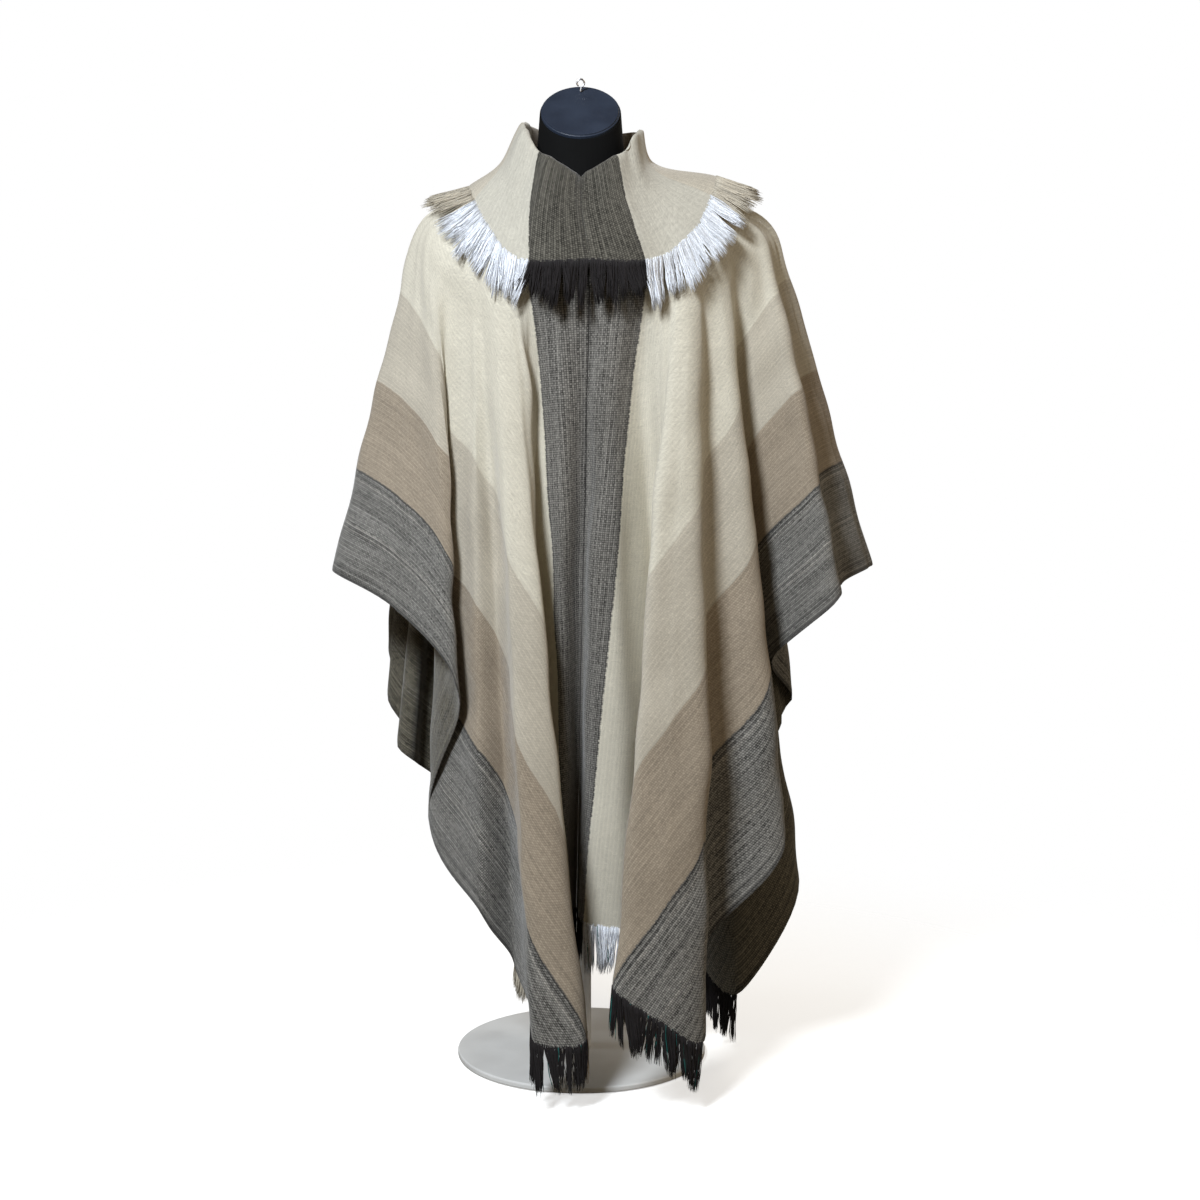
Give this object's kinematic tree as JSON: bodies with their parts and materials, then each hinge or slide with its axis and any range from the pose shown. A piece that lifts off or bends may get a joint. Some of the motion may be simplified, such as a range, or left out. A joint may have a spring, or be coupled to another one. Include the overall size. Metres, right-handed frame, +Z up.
{
  "type": "andean poncho on a dress form",
  "caption": "Striped woven poncho with a rolled collar and warp fringe, worn by a limbless dress form that stands on a pole and a round foot.",
  "frame": {"origin": "centre of the underside of the stand's round foot, on the floor", "axes": "+Z up along the pole; the front of the poncho faces -Y; +X is the wearer's left"},
  "size_m": [0.6779, 0.5066, 1.2403],
  "materials": {
    "cloth": "brushed wool weave in cream, beige, tan and grey stripes",
    "fringe": "twisted warp ends",
    "form": "black jersey cover",
    "cap": "satin",
    "eye": "wire",
    "stand": "satin white"
  },
  "bodies": {
    "root": {"panel_right": "cloth", "panel_left": "cloth", "collar_right": "cloth", "collar_left": "cloth", "fringe_front_right": "fringe", "fringe_front_left": "fringe", "fringe_back_right": "fringe", "fringe_back_left": "fringe", "collar_fringe_right": "fringe", "collar_fringe_left": "fringe", "form_torso": "form", "neck_cap": "cap", "neck_eye": "eye", "stand_pole": "stand", "stand_foot": "stand"}
  },
  "joints": []
}
